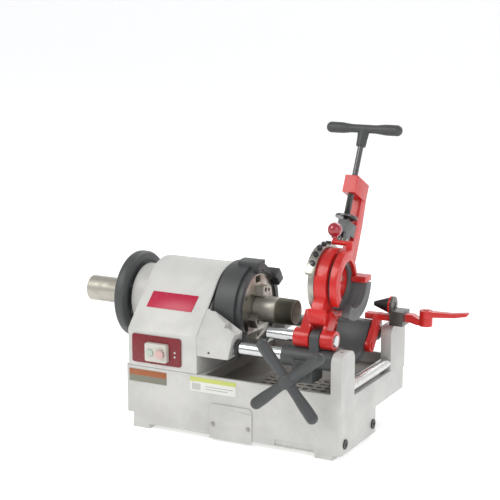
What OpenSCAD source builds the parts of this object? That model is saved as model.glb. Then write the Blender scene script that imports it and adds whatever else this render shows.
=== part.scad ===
// Bench pipe threading machine: spindle and two chucks in a headstock, a carriage on two bars
// that carries a swinging die head, cutter and reamer, and a base with a chip pan and oil tank.
// Millimetres. X runs along the spindle from the rear chuck to the carriage, Y away from the
// operator, Z up. The origin is on the bench, under the spindle axis, at the middle of the base.

/* [View] */
// One sub-part, or all of them

/* [Base] */
// Length of the base along the spindle
base_len = 540; // [450:5:650]
// Depth of the base from front to rear
base_wid = 340; // [280:5:400]
// Height of the skirt above the bench, where only the cast pads reach down
skirt_z = 11; // [8:1:20]
// Height of the deck and of the pan's rim
deck_z = 146; // [120:1:170]
// Thickness of the cast walls
wall = 8; // [6:0.5:12]
// Height of the two bar posts
post_z = 235; // [220:1:260]
// Distance between the mounting holes along X
foot_dx = 460; // [380:5:500]

/* [Spindle line] */
// Height of the spindle axis above the bench
axis_z = 270; // [240:1:300]
// Outer radius of the clamped two inch pipe
pipe_r = 30.25; // [24:0.25:31]
// Outer radius of the spindle tube
spindle_r = 45; // [42:0.5:50]
// Radius of the front chuck body
chuck_r = 80; // [70:1:84]
// Outer radius of the hammer wheel
hammer_r = 106; // [100:1:108]
// Outer radius of the rear hand ring
ring_r = 103; // [90:1:106]

/* [Bars] */
// Distance of each bar from the spindle plane
bar_y = 142; // [130:1:150]
// Height of the bars
bar_z = 213; // [200:1:220]
// Radius of the bars
bar_r = 15; // [12:0.5:18]
// Radial clearance of every running or sliding fit
fit = 0.05; // [0.02:0.01:0.1]

/* [Gears] */
// Module of all the gears in the headstock
gear_m = 3; // [2:0.5:4]
// Teeth of the spindle gear
teeth_spindle = 56; // [40:1:70]
// Teeth of the countershaft pinion
teeth_small = 14; // [12:1:20]
// Teeth of the countershaft gear
teeth_big = 36; // [30:1:40]
// Teeth of the motor pinion
teeth_motor = 10; // [9:1:14]
// Module of the bar rack
rack_m = 2; // [1.5:0.5:3]
// Teeth of the rack pinion
teeth_rack = 14; // [12:1:18]

/* [Tools] */
// Distance of the die head's pivot in front of the spindle plane
pivot_y = 135; // [130:1:140]
// Height of the die head's pivot
pivot_z = 256; // [250:1:262]
// Angle that the die head is raised from its working place
head_tilt = 48.5; // [0:0.5:60]
// Angle that the cutter is raised from its working place
cutter_tilt = 68.8; // [0:0.1:75]
// Angle that the reamer is swung back from the spindle axis
reamer_tilt = 73.8; // [0:0.1:80]
// Middle plane of the cutter
cutter_x = 118; // [114:1:122]
// Outer radius of the die head
head_r = 76; // [70:1:78]

/* [Hidden] */
$fn = 64;
half_x = base_len / 2;
half_y = base_wid / 2;
crease_z = axis_z - 38;
cover_x0 = -262;
cover_x1 = -82;
cover_r = 100;
pan_x = cover_x1 + 8;
rear_y = 30;
wing_y = 195;
pads = [[-foot_dx / 2, -145], [foot_dx / 2, -145], [-foot_dx / 2, 5], [foot_dx / 2, 5]];
bolt_r = 4.5;
counter_y = 40;
counter_z = axis_z - sqrt(pow(gear_m * (teeth_spindle + teeth_small) / 2, 2)
    - counter_y * counter_y);
motor_y = counter_y + 22;
motor_z = counter_z - sqrt(pow(gear_m * (teeth_big + teeth_motor) / 2, 2) - 22 * 22);
motor_r = 44;
rack_z = bar_z - bar_r + rack_m;
pinion_x = 176;
pinion_z = rack_z - rack_m * teeth_rack / 2;
handle_y = -240;
jaw_angles = [90, 210, 330];
rear_angles = [30, 150, 270];
pivot_len = sqrt(pow(pivot_y, 2) + pow(axis_z - pivot_z, 2));
pivot_dir = atan2(axis_z - pivot_z, pivot_y);
// The cutter is drawn with its screw along Z and the pipe's centre at its own origin
cutter_lean = 42.3;
hinge_w = bar_y * cos(cutter_lean) + (bar_z - axis_z) * sin(cutter_lean);
hinge_u = -bar_y * sin(cutter_lean) + (bar_z - axis_z) * cos(cutter_lean);
reamer_hinge = [68, 196];
rod_y = 120;
rod_z = 282;
lever_x = 348;

// ---------- shared shapes ----------

// A cylinder along X from x0 to x1 about (y, z)
module rod_x(r, x0, x1, y = 0, z = 0) {
    translate([x0, y, z]) rotate([90, 0, 90]) cylinder(r = r, h = x1 - x0);
}

// A cylinder along Y from y0 to y1 about (x, z)
module rod_y(r, y0, y1, x = 0, z = 0) {
    translate([x, y1, z]) rotate([90, 0, 0]) cylinder(r = r, h = y1 - y0);
}

// A box given by its low and high corners
module block(low, high) {
    translate(low) cube(high - low);
}

// A rectangle from low to high with round corners of radius r
module round_rect(low, high, r) {
    translate(low + [r, 0]) square(high - low - [2 * r, 0]);
    translate(low + [0, r]) square(high - low - [0, 2 * r]);
    for (x = [low[0] + r, high[0] - r], y = [low[1] + r, high[1] - r])
        translate([x, y]) circle(r = r);
}

// A flat outline in Y and Z, drawn from x0 to x1
module slab_x(x0, x1) {
    translate([x0, 0, 0]) rotate([90, 0, 90]) linear_extrude(x1 - x0) children();
}

// A flat outline in X and Z, drawn from y0 to y1
module slab_y(y0, y1) {
    translate([0, y1, 0]) rotate([90, 0, 0]) linear_extrude(y1 - y0) children();
}

// A ring's sector between two angles, drawn as an outline
module sector(r0, r1, a0, a1) {
    steps = max(2, ceil((a1 - a0) / 30));
    far = r1 / cos((a1 - a0) / steps / 2) + 1;
    intersection() {
        difference() {
            circle(r = r1);
            circle(r = r0);
        }
        polygon(concat([[0, 0]],
            [for (i = [0:steps]) let (a = a0 + (a1 - a0) * i / steps) far * [cos(a), sin(a)]]));
    }
}

// The angle that an involute has unwound where its pressure angle is a, in degrees
function unwound(a) = tan(a) * 180 / PI - a;

// The outline of a spur gear with short involute teeth and a little backlash
module gear_outline(m, teeth, backlash = 0.5) {
    r = m * teeth / 2;
    rb = r * cos(20);
    root = r - 1.15 * m;
    tip = r + 0.8 * m;
    start = max(rb, root);
    half = 90 / teeth + unwound(20) - backlash / r * 90 / PI;
    flank = [for (i = [0:3]) let (q = start + (tip - start) * i / 3)
        [q, half - unwound(acos(min(1, rb / q)))]];
    polygon([for (k = [0:teeth - 1]) let (c = 360 * k / teeth)
        each concat([root * [cos(c - half), sin(c - half)]],
            [for (p = flank) p[0] * [cos(c - p[1]), sin(c - p[1])]],
            [for (i = [3:-1:0]) flank[i][0] * [cos(c + flank[i][1]), sin(c + flank[i][1])]],
            [root * [cos(c + half), sin(c + half)]])]);
}

// The headstock's end outline: upright sides, leaning faces and a round top, drawn dy smaller
module headstock_outline(dy = 0, low = deck_z) {
    r = cover_r - dy;
    w = half_y - dy;
    drop = axis_z - crease_z + dy * 0.4;
    lean = atan2(drop, w) + asin(r / sqrt(w * w + drop * drop));
    run = sqrt(w * w + drop * drop - r * r);
    ty = w - run * cos(lean);
    tz = axis_z - drop + run * sin(lean);
    translate([0, axis_z]) circle(r = r, $fn = 96);
    polygon([[-w, low], [w, low], [w, axis_z - drop], [ty, tz], [-ty, tz], [-w, axis_z - drop]]);
}

// Turns what is drawn in the die head's working place up about its pivot
module head_place() {
    translate([0, -pivot_y, pivot_z]) rotate([head_tilt, 0, 0])
        translate([0, pivot_y, -pivot_z]) children();
}

// Puts what is drawn about the cutter's own axes in the raised cutter
module cutter_place() {
    translate([0, bar_y, bar_z]) rotate([cutter_lean - cutter_tilt, 0, 0])
        translate([0, -hinge_w, -hinge_u]) children();
}

// ---------- base ----------

// The cast base, with a pad and a solid boss at each bolt and the holes for what is fitted to it
module base_casting() color([0.80, 0.80, 0.78]) difference() {
    union() {
        base_shell();
        for (p = pads) {
            translate([p[0], p[1], skirt_z]) cylinder(r = 12, h = 32);
            block([p[0] - 21, p[1] - 24, 0], [p[0] + 21, p[1] + 21, skirt_z + 6]);
        }
        block([-251, 122, 0], [-209, 166, skirt_z + 29]);
    }
    block([112, -half_y - 1, skirt_z + 3], [205, -half_y + 2, skirt_z + 15]);
    for (side = [-1, 1]) {
        rod_x(bar_r, half_x - 26, half_x - 8, side * bar_y, bar_z);
        translate([half_x - 12.5, side * bar_y, bar_z]) cylinder(r = 4, h = 30);
    }
    rod_y(13, -112, 119, half_x - 13, 148);
    for (p = pads) translate([p[0], p[1], -1]) cylinder(r = bolt_r, h = skirt_z + 25);
    for (y = [-148, 6]) rod_x(8, half_x - wall - 1, half_x + 1, y, 34);
    for (x = [-41, 48]) rod_y(2.5, -half_y - 1, -half_y + 7, x, 39);
}

// Chip pan, oil tank, motor bay and the two bar posts
module base_shell() difference() {
    union() {
        translate([0, 0, 70]) linear_extrude(deck_z - 70)
            round_rect([-half_x, -half_y], [half_x, wing_y], 10);
        translate([0, 0, 35]) linear_extrude(36) {
            round_rect([-half_x, -half_y], [half_x, rear_y], 10);
            round_rect([-half_x, -half_y], [-20, half_y], 10);
        }
        translate([0, 0, skirt_z]) linear_extrude(25)
            round_rect([-half_x + 16, -half_y], [half_x, rear_y], 10);
        for (side = [-1, 1]) slab_x(half_x - 25, half_x)
            post_outline(side);
    }
    // Chip pan and its low end wall
    block([pan_x + wall, -half_y + wall, 120], [half_x - 25, wing_y - wall, 300]);
    block([half_x - 26, -99.9, 120], [half_x - wall, 106.9, 300]);
    block([half_x - wall - 1, -99.9, 130], [half_x + 1, 106.9, 300]);
    // Tray opening, oil tank, motor bay and the gap under the headstock
    block([24, -116, 100], [226, 12, 121]);
    block([-12, -half_y + wall, skirt_z + wall], [half_x - wall, rear_y - wall - 4, 112]);
    block([-256, -half_y + 12, 43], [-24, 158, 112]);
    block([-256, -110, 100], [cover_x1 - 8, 125, deck_z + 1]);
    block([-30, -36, 54], [-10, -24, 66]);
    // Clean-out opening in the front
    block([-6, -half_y - 1, 24], [46, -half_y + 20, 74]);
}

// One bar post, seen along X
module post_outline(side) {
    low = side < 0 ? -half_y : wing_y - 88;
    high = side < 0 ? -half_y + 70 : wing_y;
    translate([low, 120]) square([high - low, post_z - 142]);
    translate([low + 22, 120]) square([high - low - 44, post_z - 120]);
    for (y = [low + 22, high - 22]) translate([y, post_z - 22]) circle(r = 22);
}

// Perforated tray over the oil tank
module chip_tray() color([0.42, 0.40, 0.37]) difference() {
    block([16, -124, 120], [234, 20, 123]);
    for (i = [0:8], j = [0:4])
        block([34 + i * 21, -108 + j * 22, 119], [48 + i * 21, -101 + j * 22, 124]);
}

// Clean-out cover with round top corners
module tank_cover() color([0.80, 0.80, 0.78]) difference() {
    slab_y(-half_y - 2.5, -half_y) {
        round_rect([-50, 5], [57, 86], 12);
        translate([-50, 5]) square([107, 40]);
    }
    for (x = [-41, 48]) rod_y(3.2, -half_y - 6, -half_y + 1, x, 39);
}

// The two cover screws
module cover_screws() color([0.45, 0.45, 0.44]) for (x = [-41, 48]) {
    rod_y(4.5, -half_y - 5, -half_y - 2.5, x, 39);
    rod_y(2.4, -half_y - 2.6, -half_y + 6, x, 39);
}

// Two plugs in the end of the tank
module end_plugs() color([0.08, 0.08, 0.08]) for (y = [-148, 6]) difference() {
    union() {
        rod_x(8, half_x - wall, half_x, y, 34);
        rod_x(11, half_x, half_x + 3, y, 34);
    }
    rod_x(4, half_x + 1, half_x + 4, y, 34, $fn = 6);
}

// ---------- bars ----------

// Front bar, with the rack cut into its underside
module front_bar() color([0.75, 0.75, 0.74]) difference() {
    rod_x(bar_r, cover_x1 - 20, half_x - 9, -bar_y, bar_z);
    slab_y(-bar_y - 20, -bar_y + 20) rack_gaps(40, 34);
}

// The gaps between rack teeth, one pinion pitch apart, seen along Y
module rack_gaps(x0, count) {
    pitch = PI * rack_m;
    phase = pinion_x - pitch * floor((pinion_x - x0) / pitch);
    wide = pitch / 4 + 1.2 * rack_m * tan(20) + 0.12;
    deep = pitch / 4 - 1.05 * rack_m * tan(20) + 0.12;
    for (i = [0:count - 1]) translate([phase + i * pitch, rack_z])
        polygon([[-wide, -1.2 * rack_m - 1], [wide, -1.2 * rack_m - 1], [deep, 1.05 * rack_m],
            [-deep, 1.05 * rack_m]]);
}

// Rear bar, plain
module rear_bar() color([0.75, 0.75, 0.74])
    rod_x(bar_r, cover_x1 - 20, half_x - 9, bar_y, bar_z);

// Rubber collar that stops the carriage on the front bar
module bar_collars() color([0.09, 0.09, 0.09]) difference() {
    rod_x(20, 7, 15, -bar_y, bar_z);
    rod_x(bar_r, 6, 16, -bar_y, bar_z);
}

// Set screws that hold the bars in the posts
module bar_screws() color([0.12, 0.12, 0.12]) for (side = [-1, 1])
    translate([half_x - 12.5, side * bar_y, bar_z + bar_r]) difference() {
        cylinder(r = 4, h = 6);
        translate([0, 0, 3]) cylinder(r = 2, h = 4, $fn = 6);
    }

// Carrying tube between the posts
module carry_tube() color([0.72, 0.72, 0.71]) difference() {
    rod_y(13, -112, 119, half_x - 13, 148);
    rod_y(11, -113, 120, half_x - 13, 148);
}

// ---------- headstock ----------

// Bearing walls, side rails and the two shoulders that hold the bars
module headstock_frame() color([0.79, 0.79, 0.77]) difference() {
    union() {
        slab_x(-106, cover_x1) headstock_outline(6, deck_z);
        slab_x(-256, -236) headstock_outline(6, deck_z);
        for (y = [-150, 127]) block([-240, y, deck_z], [-100, y + 23, deck_z + 14]);
        intersection() {
            slab_x(cover_x1, 8) headstock_outline();
            union() {
                slab_y(-half_y, -120) polygon([[-83, 190], [-4, 190], [5, 226], [7, 245],
                    [-60, 283], [-73, 284], [-83, 296]]);
                slab_y(120, half_y) polygon([[-83, 190], [-8, 190], [-4, 226], [-4, 245],
                    [-60, 283], [-83, 284]]);
            }
        }
    }
    rod_x(58, -107, cover_x1 + 1, 0, axis_z);
    rod_x(58, -257, -235, 0, axis_z);
    for (side = [-1, 1]) rod_x(bar_r, cover_x1 - 20, 10, side * bar_y, bar_z);
    rod_x(13.5, -24, 10, -pivot_y, pivot_z);
    rod_x(8 + fit, -257, -235, counter_y, counter_z);
    rod_y(3, -half_y - 1, -half_y + 12, -52, 200);
}

// Sheet cover over the gears
module headstock_cover() color([0.82, 0.82, 0.80]) difference() {
    slab_x(cover_x0, cover_x1) headstock_outline();
    slab_x(-256, cover_x1 + 1) headstock_outline(6, deck_z - 1);
    rod_x(60, cover_x0 - 1, -255, 0, axis_z);
}

// Ring between the headstock and the rear chuck
module rear_cover() color([0.78, 0.78, 0.76]) difference() {
    rod_x(76, -312, cover_x0, 0, axis_z);
    rod_x(62, -304, cover_x0 + 1, 0, axis_z);
    rod_x(spindle_r + 0.6, -313, -300, 0, axis_z);
}

// Blank badge on the leaning face
module badge_plate() color([0.80, 0.05, 0.16]) {
    lean = atan2(axis_z - crease_z, half_y)
        + asin(cover_r / sqrt(pow(half_y, 2) + pow(axis_z - crease_z, 2)));
    translate([0, -half_y, crease_z]) rotate([lean, 0, 0]) linear_extrude(1.5)
        polygon([[-236, 60], [-118, 60], [-114, 102], [-233, 102]]);
}

// Red plate behind the switch
module switch_plate() color([0.42, 0.06, 0.07]) slab_y(-half_y - 4, -half_y)
    round_rect([-249, 157], [-121, 223], 6);

// Pale switch housing with two button wells
module switch_box() color([0.85, 0.84, 0.80]) difference() {
    slab_y(-half_y - 16, -half_y - 4) round_rect([-208, 166], [-152, 208], 4);
    for (x = [-194, -166]) {
        rod_y(8 + 2 * fit, -half_y - 17, -half_y - 6, x, 187);
    }
}

// Green start button
module start_button() color([0.10, 0.45, 0.20]) rod_y(8, -half_y - 19, -half_y - 10, -194, 187);

// Red stop button with a broad head
module stop_button() color([0.75, 0.06, 0.06]) {
    rod_y(8, -half_y - 20, -half_y - 10, -166, 187);
    rod_y(10.5, -half_y - 25, -half_y - 20, -166, 187);
}

// Blank two-colour data plate
module data_plate() color([0.55, 0.33, 0.18])
    block([-259, -half_y - 1.2, 110], [-161, -half_y, 139]);

// Blank label strip
module label_plate() color([0.88, 0.88, 0.80])
    block([-99, -half_y - 0.8, 108], [17, -half_y, 141]);

// ---------- drive ----------

// Motor body with its foot
module motor() color([0.30, 0.31, 0.32]) difference() {
    union() {
        rod_x(motor_r, -190, -114, motor_y, motor_z);
        rod_x(motor_r - 8, -200, -107, motor_y, motor_z);
        block([-180, motor_y - 34, 43], [-120, motor_y + 34, motor_z - 30]);
    }
    rod_x(6 + fit, -201, -150, motor_y, motor_z);
    for (i = [0:7]) rod_x(3, -112, -106, motor_y + 24 * cos(i * 45), motor_z + 24 * sin(i * 45));
}

// Motor shaft and pinion
module motor_pinion() color([0.55, 0.55, 0.56]) {
    rod_x(6, -232, -152, motor_y, motor_z);
    translate([-230, motor_y, motor_z]) rotate([90, 0, 90])
        linear_extrude(20) rotate(mesh_turn(counter_y - motor_y, counter_z - motor_z, teeth_motor,
            0)) gear_outline(gear_m, teeth_motor);
}

// Turn that points a tooth (offset 0) or a gap (offset 0.5) of a gear along (dy, dz)
function mesh_turn(dy, dz, teeth, offset) = atan2(dz, dy) + offset * 360 / teeth;

// Countershaft with its big gear and its pinion
module countershaft() color([0.55, 0.55, 0.56]) {
    rod_x(8, -255, -112, counter_y, counter_z);
    translate([-228, counter_y, counter_z]) rotate([90, 0, 90]) linear_extrude(16)
        rotate(mesh_turn(motor_y - counter_y, motor_z - counter_z, teeth_big, 0.5))
            gear_outline(gear_m, teeth_big);
    translate([-193, counter_y, counter_z]) rotate([90, 0, 90]) linear_extrude(30)
        rotate(mesh_turn(-counter_y, axis_z - counter_z, teeth_small, 0))
            gear_outline(gear_m, teeth_small);
}

// Oil pump on the end of the countershaft
module oil_pump() color([0.40, 0.41, 0.42]) difference() {
    union() {
        rod_x(20, -150, -106, counter_y, counter_z);
        block([-146, counter_y - 40, counter_z - 8], [-122, counter_y, counter_z + 8]);
    }
    rod_x(8 + fit, -151, -110, counter_y, counter_z);
}

// Suction pipe from the tank to the pump, with its strainer
module oil_pipe() color([0.70, 0.55, 0.28]) {
    y = -30;
    rod_y(5, y, counter_y - 40, -134, counter_z);
    translate([-134, y, 54]) cylinder(r = 6, h = counter_z - 47);
    rod_x(5, -134, 31, y, 60);
    difference() {
        rod_x(14, 30, 70, y, 60);
        rod_x(11, 36, 71, y, 60);
    }
}

// Two bearing rings in the headstock walls
module spindle_bearings() color([0.72, 0.55, 0.30]) for (x = [-106, -256])
    difference() {
        rod_x(58, x, x + (x == -106 ? 24 : 20), 0, axis_z);
        rod_x(spindle_r + fit, x - 1, x + 26, 0, axis_z);
    }

// Hollow spindle with its gear, and slots for the rear jaws
module spindle() color([0.62, 0.62, 0.60]) difference() {
    union() {
        rod_x(spindle_r, -352, -50, 0, axis_z);
        translate([-190, 0, axis_z]) rotate([90, 0, 90]) linear_extrude(24)
            rotate(mesh_turn(counter_y, counter_z - axis_z, teeth_spindle, 0.5))
                gear_outline(gear_m, teeth_spindle);
    }
    rod_x(34, -353, -49, 0, axis_z);
    for (a = rear_angles) translate([-352, 0, axis_z]) rotate([a, 0, 0])
        block([-1, 20, -7.1], [14.1, 60, 7.1]);
}

// ---------- front chuck ----------

// Chuck body with three jaw slots
module chuck_body() color([0.66, 0.64, 0.60]) difference() {
    rod_x(chuck_r, -66, -16, 0, axis_z);
    rod_x(spindle_r, -67, -50, 0, axis_z);
    rod_x(34, -51, -15, 0, axis_z);
    for (a = jaw_angles) translate([0, 0, axis_z]) rotate([a, 0, 0]) {
        block([-44, 20, -12.1], [-15, 76, 12.1]);
        rotate([60, 0, 0]) rod_x(4, -24, -15, 64, 0);
    }
}

// Hammer wheel with four striking lugs
module hammer_wheel() color([0.27, 0.28, 0.29]) translate([0, 0, axis_z]) difference() {
    union() {
        rod_x(hammer_r, -74, -24);
        rod_x(hammer_r - 8, -25, -12);
        for (a = [95, 35, -85, -145]) slab_x(-54, -2) rotate(a) sector(88, 114, -9, 9);
    }
    rod_x(chuck_r + fit, -75, -14);
    rod_x(chuck_r + 4, -15, 3);
    for (a = [95, 35, -85, -145]) slab_x(-26, 3) rotate(a) sector(80, 92, -6, 6);
}

// One chuck jaw, stepped and toothed
module jaw(a) color([0.58, 0.56, 0.52]) translate([0, 0, axis_z]) rotate([a, 0, 0])
    difference() {
        union() {
            block([-43.9, 34.5, -12], [-16, 60, 12]);
            block([-20, pipe_r + fit, -12], [4, 54, 12]);
        }
        for (x = [-18:5:2]) block([x, 30, -13], [x + 1.6, 32.6, 13]);
        rod_x(5, -2, 5, 45, 0);
    }

module jaw_1() jaw(jaw_angles[0]);

module jaw_2() jaw(jaw_angles[1]);

module jaw_3() jaw(jaw_angles[2]);

// ---------- rear chuck ----------

// Rear hand ring and its web
module rear_wheel() color([0.27, 0.28, 0.29]) translate([0, 0, axis_z]) difference() {
    union() {
        translate([-331.5, 0, 0]) rotate([0, 90, 0]) rotate_extrude($fn = 96)
            translate([ring_r - 13, 0]) round_rect([-13, -14], [13, 14], 9);
        rod_x(80, -336, -320);
    }
    rod_x(spindle_r + fit, -350, -310);
    for (a = [0:60:300]) rotate([a + 30, 0, 0]) translate([-332, 64, 0])
        rotate([0, 90, 0]) translate([0, 0, -20]) cylinder(r = 9, h = 40);
}

// One rear centring jaw
module rear_jaw(a) color([0.55, 0.54, 0.52]) translate([0, 0, axis_z]) rotate([a, 0, 0])
    difference() {
        block([-351.9, pipe_r + fit, -7], [-338.1, 58, 7]);
        rod_x(3, -353, -345, 50, 0);
    }

module rear_jaw_1() rear_jaw(rear_angles[0]);

module rear_jaw_2() rear_jaw(rear_angles[1]);

module rear_jaw_3() rear_jaw(rear_angles[2]);

// Two inch pipe in the chucks, with a finished thread on its front end
module workpiece_pipe() color([0.62, 0.60, 0.56]) {
    pitch = 25.4 / 11;
    turns = 18;
    x0 = 82 - pitch * turns;
    translate([0, 0, axis_z]) rotate([0, 90, 0]) rotate_extrude($fn = 96)
        polygon(concat([[26.4, -468], [pipe_r, -468], [pipe_r, x0]],
            [for (i = [0:turns - 1]) each [[pipe_r - 0.02 * i - 1.4, x0 + pitch * (i + 0.5)],
                [pipe_r - 0.02 * i - 0.05, x0 + pitch * (i + 0.98)]]],
            [[26.4, 82]]));
}

// ---------- carriage ----------

// Carriage casting: two bar housings, the saddle ring, the pivot lug and the pinion housing
module carriage() color([0.30, 0.31, 0.32]) difference() {
    union() {
        rod_x(22, 122, 242, -bar_y, bar_z);
        rod_x(22, 142, 226, bar_y, bar_z);
        slab_x(150, 226) difference() {
            union() {
                translate([0, axis_z]) circle(r = 104, $fn = 96);
                translate([-130, 186]) square([60, 38]);
                translate([70, 192]) square([60, 42]);
            }
            translate([0, axis_z]) circle(r = 84, $fn = 96);
            translate([-110, 224]) square([110, 200]);
            translate([0, 248]) square([120, 200]);
        }
        rod_x(19, 186, 208, -pivot_y, pivot_z);
        block([186, -pivot_y - 19, bar_z], [208, -pivot_y + 19, pivot_z]);
        block([152, -168, 164], [200, -114, bar_z]);
        rod_y(18, -186, -167, pinion_x, pinion_z);
        rod_x(15.5, 196, 226, reamer_hinge[0], reamer_hinge[1]);
    }
    for (side = [-1, 1]) rod_x(bar_r + fit, 121, 243, side * bar_y, bar_z);
    rod_x(13, 185, 209, -pivot_y, pivot_z);
    rod_y(9 + fit, -187, -110, pinion_x, pinion_z);
    block([157, -152, 168], [195, -132, 206]);
    rod_x(8 + fit, 205, 227, reamer_hinge[0], reamer_hinge[1]);
    for (x = [136, 232]) translate([x, -bar_y, bar_z]) cylinder(r = 3, h = 30);
}

// Pinion shaft with the pinion that runs in the rack
module rack_pinion() color([0.55, 0.55, 0.56]) {
    rod_y(9, handle_y - 6, -116, pinion_x, pinion_z);
    translate([pinion_x, -134, pinion_z]) rotate([90, 0, 0]) linear_extrude(16)
        rotate(mesh_turn(0, 1, teeth_rack, 0)) gear_outline(rack_m, teeth_rack, 0.35);
}

// Cross handle: a hub and four round grips
module cross_handle() color([0.28, 0.29, 0.30]) translate([pinion_x, 0, pinion_z])
    difference() {
        union() {
            rod_y(17, handle_y - 15, handle_y + 26);
            for (a = [39, 129, 219, 309]) rotate([0, -a, 0]) translate([0, handle_y, 0]) {
                rod_x(13, 8, 93);
                translate([93, 0, 0]) sphere(r = 13);
            }
        }
        rod_y(9, handle_y - 6, handle_y + 27);
    }

// Pivot shaft of the die head
module head_pivot() color([0.74, 0.74, 0.73]) rod_x(13, 80, 243, -pivot_y, pivot_z);

// ---------- die head ----------

// The bulging neck between the pivot and the ring, seen along X, cut off at a given length
module neck_outline(len) difference() {
    intersection() {
        translate([62, 5]) circle(r = 42);
        translate([25, -24]) square([len, 80]);
    }
    circle(r = 24);
}

// Red casting: two ears, a bulging neck and the ring that carries the chasers
module head_body() color([0.80, 0.10, 0.09]) head_place() difference() {
    union() {
        rod_x(21, 147, 183, -pivot_y, pivot_z);
        rod_x(21, 211, 240, -pivot_y, pivot_z);
        translate([0, -pivot_y, pivot_z]) rotate([pivot_dir, 0, 0]) {
            block([160, 0, -15], [182, pivot_len - head_r - 2, 19]);
            block([212, 0, -15], [222, pivot_len - head_r - 2, 19]);
            slab_x(185, 211) neck_outline(60);
            slab_x(178, 216) neck_outline(25);
        }
        rod_x(head_r - 2, 184, 212, 0, axis_z);
        rod_x(50, 180, 185, 0, axis_z);
    }
    rod_x(37, 179, 213, 0, axis_z);
    rod_x(13 + fit, 146, 241, -pivot_y, pivot_z);
    for (k = [0:3]) translate([0, 0, axis_z]) rotate([45 + 90 * k, 0, 0])
        block([186, 20, -9.1], [202, 66, 9.1]);
}

// Steel ring with the size marks, on the side that meets the pipe
module size_ring() color([0.62, 0.62, 0.60]) head_place() difference() {
    union() {
        rod_x(head_r, 170, 184, 0, axis_z);
        translate([0, 0, axis_z]) slab_x(164, 186) rotate(60 - head_tilt)
            sector(head_r - 2, head_r + 5, -10, 100);
    }
    rod_x(50, 169, 185, 0, axis_z);
}

// Size bolts around the ring
module size_bolts() color([0.10, 0.10, 0.10]) head_place() translate([0, 0, axis_z])
    for (i = [0:5]) rotate([62 - head_tilt + i * 16, 0, 0]) {
        translate([177, 0, 0]) rod_y(6, head_r + 5, head_r + 11);
    }

// Cam plate that drives the chasers, with its thick outer segment
module cam_plate() color([0.42, 0.42, 0.44]) head_place() translate([0, 0, axis_z])
    difference() {
        union() {
            slab_x(236, 254) rotate(-head_tilt) sector(53, 80, -125, -8);
            slab_x(212.3, 220) circle(r = 62);
            slab_x(219, 237) rotate(-head_tilt) sector(51, 61, -124, -9);
        }
        rod_x(39, 210, 260);
    }

// Round knob on the end of the lever's rod
module head_knob() color([0.62, 0.03, 0.06]) head_place() translate([0, 0, axis_z])
    rotate([-head_tilt, 0, 0]) difference() {
        translate([193, 14, 112]) sphere(r = 16);
        translate([193.5, 14, 90]) cylinder(r = 5, h = 16);
    }

// Red lever that turns the cam plate, with the rod for its knob
module head_lever() color([0.85, 0.13, 0.11]) head_place() translate([0, 0, axis_z])
    rotate([-head_tilt, 0, 0]) {
        slab_x(220, 236) sector(50, 72, 76, 215);
        slab_x(220, 228) sector(50, 59, 4, 80);
        slab_x(220, 254) translate([44, -7]) square([34, 13]);
        block([222, 8, 64], [236, 20, 88]);
        rod_x(5.5, 188, 235, 14, 84);
        translate([193.5, 14, 84]) cylinder(r = 5, h = 22);
    }

// One chaser in its slot
module chaser(k) color([0.50, 0.50, 0.52]) head_place() translate([0, 0, axis_z])
    rotate([45 + 90 * k, 0, 0]) difference() {
        block([186.1, 34.6, -9], [201.9, 60, 9]);
        for (x = [187:2.31:201]) block([x, 34, -10], [x + 1.1, 35.8, 10]);
    }

module chaser_1() chaser(0);

module chaser_2() chaser(1);

module chaser_3() chaser(2);

module chaser_4() chaser(3);

// ---------- cutter ----------

// C-shaped cutter frame on the rear bar
module cutter_frame() color([0.85, 0.11, 0.10]) cutter_place() difference() {
    translate([cutter_x, 0, 0]) union() {
        rod_x(23, -18, 20, hinge_w, hinge_u);
        block([-12, 40.2, hinge_u + 4], [12, 66, 200]);
        slab_x(-12, 12) polygon([[60, -104], [68, -104], [75, -10], [77, 40], [75, 110],
            [68, 168], [60, 168]]);
        block([-12, 30, -72], [12, 64, -44]);
        block([-15, -34, -66], [15, 44, -52]);
        for (side = [-1, 1]) translate([side * 12.5, 0, 0])
            block([-2.5, -34, -66], [2.5, 36, -28]);
        block([-16, -18, 164], [16, 58, 206]);
    }
    rod_x(bar_r + fit, cutter_x - 19, cutter_x + 21, hinge_w, hinge_u);
    translate([cutter_x, 0, 150]) cylinder(r = 8 + 2 * fit, h = 60);
    for (y = [-20, 20]) rod_x(4 + fit, cutter_x - 16, cutter_x + 16, y, -38);
    rod_x(33, cutter_x - 16, cutter_x + 16);
}

// Slide block with the wheel's two cheeks
module cutter_slide() color([0.35, 0.36, 0.37]) cutter_place() translate([cutter_x, 0, 0]) {
    difference() {
        union() {
            block([-12, -16, 68], [12, 40, 98]);
            for (side = [-1, 1]) translate([side * 9, 0, 0]) block([-3, -10, 45], [3, 16, 70]);
        }
        translate([0, 0, 84]) cylinder(r = 8.1, h = 20);
        rod_x(4 + fit, -13, 13, 0, 52);
    }
}

// Cutter wheel on its pin
module cutter_wheel() color([0.70, 0.70, 0.70]) cutter_place()
    translate([cutter_x, 0, 52]) {
        rotate([0, 90, 0]) rotate_extrude()
            polygon([[0, -5], [8, -5], [8, -2.5], [10, -2.5], [14.5, 0], [10, 2.5], [8, 2.5],
                [8, 5], [0, 5]]);
        rod_x(4, -13, 13);
    }

// One support roller with its journals
module roller(y) color([0.70, 0.70, 0.68]) cutter_place() {
    rod_x(11.5, cutter_x - 9.5, cutter_x + 9.5, y, -38);
    rod_x(4, cutter_x - 15, cutter_x + 15, y, -38);
}

module roller_1() roller(-20);

module roller_2() roller(20);

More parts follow.
